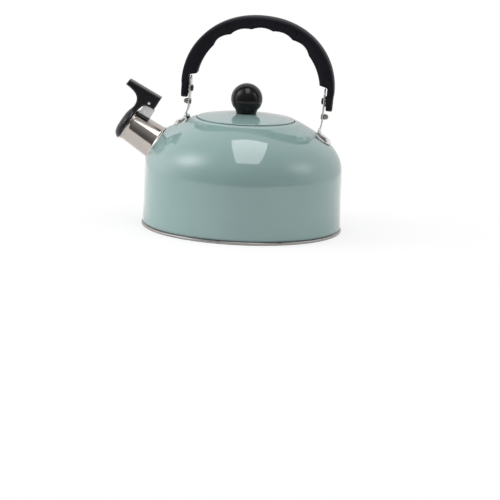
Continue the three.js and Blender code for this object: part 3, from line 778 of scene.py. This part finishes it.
def arch_point(axes, exponent, angle, rise):
    """A point of a superellipse about the arch's centre, moved out by the rise."""
    c, s = math.cos(angle), math.sin(angle)
    radius = (abs(c / axes[0]) ** exponent + abs(s / axes[1]) ** exponent) ** (-1 / exponent) + rise
    return Vector((radius * c, ARCH_CENTRE + radius * s))


def scallop_rise(angle):
    """How far the arch's inner edge is cut out by the finger scallops, deeper towards the ends."""
    along = SCALLOPS * (angle - SCALLOP_START) / (SCALLOP_END - SCALLOP_START)
    if along <= 0 or along >= SCALLOPS:
        return 0.0
    hollow = math.sin(math.pi * (along % 1)) ** 0.9
    return SCALLOP_DEPTH * (1 + math.cos(angle) ** 2) * hollow


def with_both_lugs(lug, arch):
    """One lug's side, the arch, and the other lug's side."""
    return lug + arch + [Vector((-p.x, p.y)) for p in reversed(lug)]


def handle_edges(count):
    """The outer and inner edges of the arch and its lugs, as (u, w) points in the handle's plane."""
    leg_end = math.radians(8)
    outer_arch = [arch_point(ARCH_OUTER, 2.1, a, 0) for a in np.linspace(0, math.pi, 150)]
    inner_arch = [arch_point(ARCH_INNER, 2, a, scallop_rise(a))
                  for a in np.linspace(leg_end, math.pi - leg_end, 260)]
    foot = -LUG_END_RADIUS
    heights = [foot, -4.8, -2.4, 0.0]
    middle = Vector(((LUG_INNER_U + LUG_OUTER_U) / 2, foot))
    outer_lug = [middle] + [Vector((LUG_OUTER_U - 0.3, w)) for w in [*heights, 3.5]]
    inner_lug = [middle] + [Vector((LUG_INNER_U, w)) for w in [*heights, 4.0, 9.0, 14.0]]
    outer, _ = resampled(rounded_corners(with_both_lugs(outer_lug, outer_arch), 2.0), count)
    inner, _ = resampled(rounded_corners(with_both_lugs(inner_lug, inner_arch), 1.6), count)
    return outer, inner


def inward_directions(outline):
    """Unit vectors that point into a closed outline, smoothed along it."""
    tangent = np.roll(outline, -1, axis=0) - np.roll(outline, 1, axis=0)
    tangent /= np.linalg.norm(tangent, axis=1)[:, None]
    inward = np.stack([-tangent[:, 1], tangent[:, 0]], 1)
    for _ in range(10):
        inward = (np.roll(inward, 1, axis=0) + inward * 2 + np.roll(inward, -1, axis=0)) / 4
    return inward / np.linalg.norm(inward, axis=1)[:, None]


def build_handle():
    """The arch and its lugs: one outline, swept across with a broad bevel along the inner edge."""
    columns = 640
    outer, inner = handle_edges(columns)
    outline = np.concatenate([outer, inner[-2:0:-1]])
    inward = inward_directions(outline)
    around = len(outline)
    up = outline[:, 1]
    on_inner_edge = np.arange(around) >= columns
    in_arch = smoothstep(15, 32, up)
    bevel = np.where(on_inner_edge, 0.1 + 0.9 * in_arch, 0.1 + 0.14 * in_arch)
    half_depth = np.interp(up, [0, LUG_TOP], [LUG_END_RADIUS, HANDLE_HALF_DEPTH])
    round_end = np.sqrt(np.clip(LUG_END_RADIUS**2 - np.minimum(up, 0) ** 2, 1.5, None))
    stretch = np.where(up < 0, round_end, half_depth) / HANDLE_HALF_DEPTH
    rings = [(-y, cut) for y, cut in reversed(GRIP_SECTION)] + GRIP_SECTION
    verts = []
    for y, cut in rings:
        at = outline + inward * (bevel * cut)[:, None]
        verts += [(u, y * across, w) for (u, w), across in zip(at, stretch)]
    faces = grid_faces(len(rings), around, wrap_columns=True, flip=True)
    top = len(verts) - around
    for i in range(columns - 1):
        # The two sides, each a ladder between the outer edge and the inner edge.
        corners = dict.fromkeys([(around - i) % around, i, i + 1, around - i - 1])
        faces.append([*corners])
        faces.append([top + k for k in reversed(corners)])
    add_piece("arched_grip", verts, faces, "handle", "handle_grip", SATIN_BLACK, "satin_black",
              HANDLE_FRAME, sharp=60)


# ---- straps and fasteners --------------------------------------------------------------------


def handle_point(u, w):
    """A point of the handle's plane, as (x, z)."""
    at = HANDLE_FRAME @ Vector((u, 0, w))
    return at.x, at.z


def on_shoulder(radius, lift):
    """A point above the shoulder, as (radius, height)."""
    curve = bezier(SHOULDER, np.linspace(0, 1, 600))
    i = int(np.argmin(np.abs(curve[:, 0] - radius)))
    tangent = curve[min(i + 1, len(curve) - 1)] - curve[max(i - 1, 0)]
    tangent /= np.linalg.norm(tangent)
    return curve[i][0] + tangent[1] * lift, curve[i][1] - tangent[0] * lift


def on_boss(depth, lift):
    """A point above the boss's top line, as (x, z); the depth runs back from the spout's root."""
    away = Vector((1, BOSS_SLOPE)).normalized()
    along = -SPOUT_LENGTH - depth + lift * away.y
    out = BOSS_RADIUS + BOSS_SLOPE * depth + lift * away.x
    at = SPOUT_FRAME @ Vector((along, out, 0))
    return at.x, at.z


def paint_shade_on_flanks(bracket, in_pad, columns):
    """The flanks beside the rib get a darker steel: painted shade in the pockets beside the raised rib."""
    rows = len(in_pad)
    pad_start = next(row for row, amount in enumerate(in_pad) if amount > 0.9)
    bracket.data.materials.append(FLANK_SHADE_STEEL)
    for index, polygon in enumerate(bracket.data.polygons):
        row = index // (columns - 1)
        beside_rib = 5.4 < abs(polygon.center.y) / MM < 11.5
        if pad_start < row < rows - 8 and beside_rib:
            polygon.material_index = 1


def build_bracket(side, name, node_name, bend, pad, droop):
    """A strap with a round top, curving into an oval pad with a raised rib along its middle."""
    rib_height = 1.8
    end_share = 0.62
    line = [handle_point(side * STRAP_U, 12.8), handle_point(side * STRAP_U, -20), bend, *pad]
    middle, along = resampled(filleted(line, 3.2, 6), 90)
    tangent = np.gradient(middle, axis=0)
    tangent /= np.linalg.norm(tangent, axis=1)[:, None]
    normal = np.stack([tangent[:, 1], -tangent[:, 0]], 1) * -side
    to_end = along[-1] - along
    pad_length = sum(math.dist(a, b) for a, b in zip([bend, *pad], pad))
    pad_start = along[-1] - pad_length
    in_pad = smoothstep(pad_start - 1.5, pad_start + 3.5, along)
    width = STRAP_HALF_WIDTH + (PAD_HALF_WIDTH - STRAP_HALF_WIDTH) * in_pad
    top = np.clip(along / STRAP_HALF_WIDTH, 0.02, 1)
    end = np.clip(to_end / (end_share * pad_length), 0.01, 1)
    width = width * np.sqrt(1 - (1 - top) ** 2) * np.sqrt(1 - (1 - end) ** 2)
    across = np.sin(np.linspace(-math.pi / 2, math.pi / 2, 25))
    rib_end = smoothstep(0, 3.5, to_end)
    verts = []
    for face in (0.5, -0.5):
        for i, (point, away) in enumerate(zip(middle, normal)):
            y = across * width[i]
            rib = rib_height * in_pad[i] * rib_end[i] * (1 - smoothstep(4.6, 6.8, np.abs(y)))
            lift = face * STRAP_SHEET + rib - droop * y * y * in_pad[i]
            verts += [(point[0] + away[0] * h, q, point[1] + away[1] * h) for q, h in zip(y, lift)]
    faces = plate_faces(len(middle), len(across))
    if side > 0:
        faces = [face[::-1] for face in faces]
    bracket = add_piece(name, verts, faces, "kettle", node_name, LIGHTENED_BRACKET_STEEL, "polished_steel", sharp=40)
    paint_shade_on_flanks(bracket, in_pad, len(across))


def build_brackets():
    """The front strap stands on the boss and the rear one on the shoulder."""
    lift = GAP + STRAP_SHEET / 2
    front = [on_boss(11.6, lift + 1), on_boss(10, lift), on_boss(7, lift), on_boss(4.4, lift)]
    build_bracket(-1, "front_strap_bracket", "front_bracket", (-60.6, 110.4), front, 0.0125)
    rear = [on_shoulder(71.2, lift + 1)]
    rear += [on_shoulder(radius, lift) for radius in (73.6, 76.4, 79, 81.6, 84.5)]
    build_bracket(1, "rear_strap_bracket", "rear_bracket", (74.3, 103.0), rear, 0.0053)


def build_fasteners():
    """Pivot screws, washers and stop studs, turned about the handle's axis at each side."""
    inner_face = STRAP_U - STRAP_SHEET / 2 - GAP
    outer_face = STRAP_U + STRAP_SHEET / 2 + GAP
    shank = 1.9
    screw_end = LUG_OUTER_U - 2.2
    screw = filleted([
        (0, inner_face - 1.2), (1.1, inner_face - 1.2), (1.3, inner_face - 2.0), (2.2, inner_face - 2.0),
        (3.3, inner_face - 1.2), (3.3, inner_face), (shank, inner_face), (shank, screw_end), (0, screw_end),
    ], 0.5, 4)
    washer_hole = 2.2
    washer_radius = 5.5
    lug_face = LUG_INNER_U - GAP
    washer = ring_loop([
        (washer_hole, outer_face), (washer_radius, outer_face),
        (washer_radius, lug_face), (washer_hole, lug_face),
    ], 0.25, 2)
    head = 2.8
    stud = filleted([
        (0, inner_face - 0.9), (head, inner_face - 0.9), (head, inner_face), (shank, inner_face),
        (shank, outer_face), (head, outer_face), (head, outer_face + 2.2), (2.35, outer_face + 2.5),
        (2.35, outer_face + 3.6), (1.5, outer_face + 4.5), (0, outer_face + 4.7),
    ], 0.5, 4)
    for prefix, turn in (("front", Matrix.Rotation(math.pi, 4, "Z")), ("rear", Matrix.Identity(4))):
        at_pivot = HANDLE_FRAME @ turn @ Z_TO_X
        add_turned(prefix + "_pivot_screw_head", screw, 48, "handle", prefix + "_pivot_screw",
                   DARK_SCREW, "dark_screw", matrix=at_pivot)
        add_turned(prefix + "_pivot_spacer", washer, 64, "handle", prefix + "_pivot_washer",
                   BRUSHED, "brushed_steel", matrix=at_pivot)
        below_pivot = HANDLE_FRAME @ Matrix.Translation((0, 0, -STUD_DROP[prefix])) @ turn @ Z_TO_X
        add_turned(prefix + "_stop_button", stud, 48, "kettle", prefix + "_stop_stud",
                   STUD_STEEL, "polished_steel", matrix=below_pivot)


# ---- surroundings ----------------------------------------------------------------------------


def math_node(tree, operation, first, second):
    """One operation on two values, each of them a number or a socket."""
    made = tree.nodes.new("ShaderNodeMath")
    made.operation = operation
    for socket, value in zip(made.inputs, (first, second)):
        if isinstance(value, float):
            socket.default_value = value
        else:
            tree.links.new(value, socket)
    return made.outputs[0]


def mixed_shader(tree, factor, first, second):
    made = tree.nodes.new("ShaderNodeMixShader")
    for socket, value in zip(made.inputs, (factor, first, second)):
        tree.links.new(value, socket)
    return made.outputs[0]


def seen_by_camera(tree):
    return tree.nodes.new("ShaderNodeLightPath").outputs["Is Camera Ray"]


def floor_finish():
    """Pale paper that fades, for the camera, into the white backdrop."""
    material = bpy.data.materials.new("pale_floor")
    material.use_nodes = True
    tree = material.node_tree
    tree.nodes.clear()
    paper = node(tree, "ShaderNodeBsdfDiffuse", Color=(0.86, 0.86, 0.86, 1))
    glow = node(tree, "ShaderNodeEmission", Color=(1, 1, 1, 1), Strength=1.0)
    distance = tree.nodes.new("ShaderNodeVectorMath")
    distance.operation = "LENGTH"
    tree.links.new(tree.nodes.new("ShaderNodeTexCoord").outputs["Object"], distance.inputs[0])
    faded = spread(tree, distance.outputs["Value"], 0.72, 1.0, 0.10, 0.35)
    to_camera = math_node(tree, "MULTIPLY", faded, seen_by_camera(tree))
    out = tree.nodes.new("ShaderNodeOutputMaterial")
    surface = mixed_shader(tree, to_camera, paper.outputs[0], glow.outputs[0])
    tree.links.new(surface, out.inputs["Surface"])
    return material


def build_floor():
    radius = 0.52
    corners = 96
    turns = [2 * math.pi * i / corners for i in range(corners)]
    ring = [(radius * math.cos(angle), radius * math.sin(angle), 0) for angle in turns]
    mesh = bpy.data.meshes.new("floor")
    mesh.from_pydata(ring, [], [list(range(corners))])
    mesh.materials.append(floor_finish())
    floor = bpy.data.objects.new("floor", mesh)
    bpy.context.scene.collection.objects.link(floor)


def glow_towards(tree, direction, aim, tightness, strength):
    """A soft round glow about one direction."""
    dot = tree.nodes.new("ShaderNodeVectorMath")
    dot.operation = "DOT_PRODUCT"
    dot.inputs[1].default_value = Vector(aim).normalized()
    tree.links.new(direction, dot.inputs[0])
    clipped = math_node(tree, "MAXIMUM", dot.outputs["Value"], 0.0)
    return math_node(tree, "MULTIPLY", math_node(tree, "POWER", clipped, tightness), strength)


def build_world():
    """A white backdrop to the camera, and to all else a room that is bright above and behind."""
    # Each glow: where it is, how tight it is and how strong.
    glows = (
        ((-0.77, -0.20, 0.60), 24.0, 3.8),
        ((0.86, -0.09, 0.50), 30.0, 1.6),
        ((-1.0, 0.10, 0.10), 7.0, 1.1),
        ((1.0, 0.10, 0.10), 9.0, 0.5),
    )
    world = bpy.data.worlds.new("studio")
    bpy.context.scene.world = world
    world.use_nodes = True
    tree = world.node_tree
    tree.nodes.clear()
    direction = tree.nodes.new("ShaderNodeTexCoord").outputs["Generated"]
    parts = tree.nodes.new("ShaderNodeSeparateXYZ")
    tree.links.new(direction, parts.inputs["Vector"])
    back = spread(tree, parts.outputs["Y"], 0.0, 0.62, -0.15, 0.75)
    ceiling = spread(tree, parts.outputs["Z"], 0.0, 0.26, 0.12, 0.75)
    total = math_node(tree, "ADD", math_node(tree, "ADD", back, ceiling), 0.13)
    for aim, tightness, strength in glows:
        total = math_node(tree, "ADD", total, glow_towards(tree, direction, aim, tightness, strength))
    room = node(tree, "ShaderNodeBackground", Color=(1, 1, 1, 1))
    tree.links.new(total, room.inputs["Strength"])
    backdrop = node(tree, "ShaderNodeBackground", Color=(1, 1, 1, 1))
    out = tree.nodes.new("ShaderNodeOutputWorld")
    surface = mixed_shader(tree, seen_by_camera(tree), room.outputs[0], backdrop.outputs[0])
    tree.links.new(surface, out.inputs["Surface"])


def add_softbox(name, place, aim, size, power, colour=(1, 1, 1)):
    data = bpy.data.lights.new(name, "AREA")
    data.shape = "RECTANGLE"
    data.size, data.size_y = size
    data.energy = power
    data.color = colour
    light = bpy.data.objects.new(name, data)
    bpy.context.scene.collection.objects.link(light)
    light.location = place
    light.rotation_mode = "QUATERNION"
    light.rotation_quaternion = (Vector(aim) - Vector(place)).to_track_quat("-Z", "Y")
    return light


def build_lights():
    """The softbox that the shoulder mirrors, and three fills that nothing mirrors."""
    add_softbox("overhead_softbox", (0.09, -0.22, 1.15), (0.073, -0.05, 0.08), (0.47, 1.05), 5.2)
    kettle = (0, 0, 0.06)
    warm = (1.0, 0.95, 0.80)
    fills = (
        add_softbox("front_fill", (-0.6, -2.2, 1.6), kettle, (1.2, 1.2), 1.2),
        add_softbox("left_fill", (-2.3, -0.45, 0.85), kettle, (1.0, 1.0), 14.0),
        add_softbox("right_fill", (2.2, -0.5, 0.8), kettle, (1.0, 1.0), 3.0, warm),
    )
    for fill in fills:
        fill.visible_glossy = False


def build_camera():
    """A long lens, a little to the right of the kettle and above it, slightly rolled."""
    heading = math.radians(5.0)
    elevation = math.radians(9.24)
    roll = math.radians(2.56)
    distance = 2.5
    target = Vector((0, 0, 0.060))
    # These two turns move the kettle up and to the left in the picture.
    tilt = math.radians(-1.887)
    pan = math.radians(-0.143)
    level = math.cos(elevation)
    forward = Vector((-math.sin(heading) * level, math.cos(heading) * level, -math.sin(elevation)))
    right = Vector((math.cos(heading), math.sin(heading), 0))
    up = right.cross(forward)
    rolled_right = right * math.cos(roll) + up * math.sin(roll)
    rolled_up = up * math.cos(roll) - right * math.sin(roll)
    turn = matrix_of(rolled_right, rolled_up, -forward, (0, 0, 0))
    turn = turn @ Matrix.Rotation(tilt, 4, "X") @ Matrix.Rotation(pan, 4, "Y")
    data = bpy.data.cameras.new("camera")
    data.lens = 180.3
    data.sensor_width = 36.0
    data.clip_start, data.clip_end = 0.05, 100.0
    camera = bpy.data.objects.new("camera", data)
    bpy.context.scene.collection.objects.link(camera)
    camera.matrix_world = Matrix.Translation(target - forward * distance) @ turn
    bpy.context.scene.camera = camera


def build_all():
    build_body()
    build_collar()
    build_base()
    build_lid()
    build_skirt()
    build_knob()
    build_knob_hardware()
    build_spout()
    build_saddle()
    build_pin()
    build_spring()
    build_whistle()
    build_lever()
    build_lever_bracket()
    build_handle()
    build_brackets()
    build_fasteners()
    build_floor()
    build_world()
    build_lights()
    build_camera()
    bpy.context.scene.view_settings.view_transform = "Standard"


build_all()
bpy.context.view_layer.update()
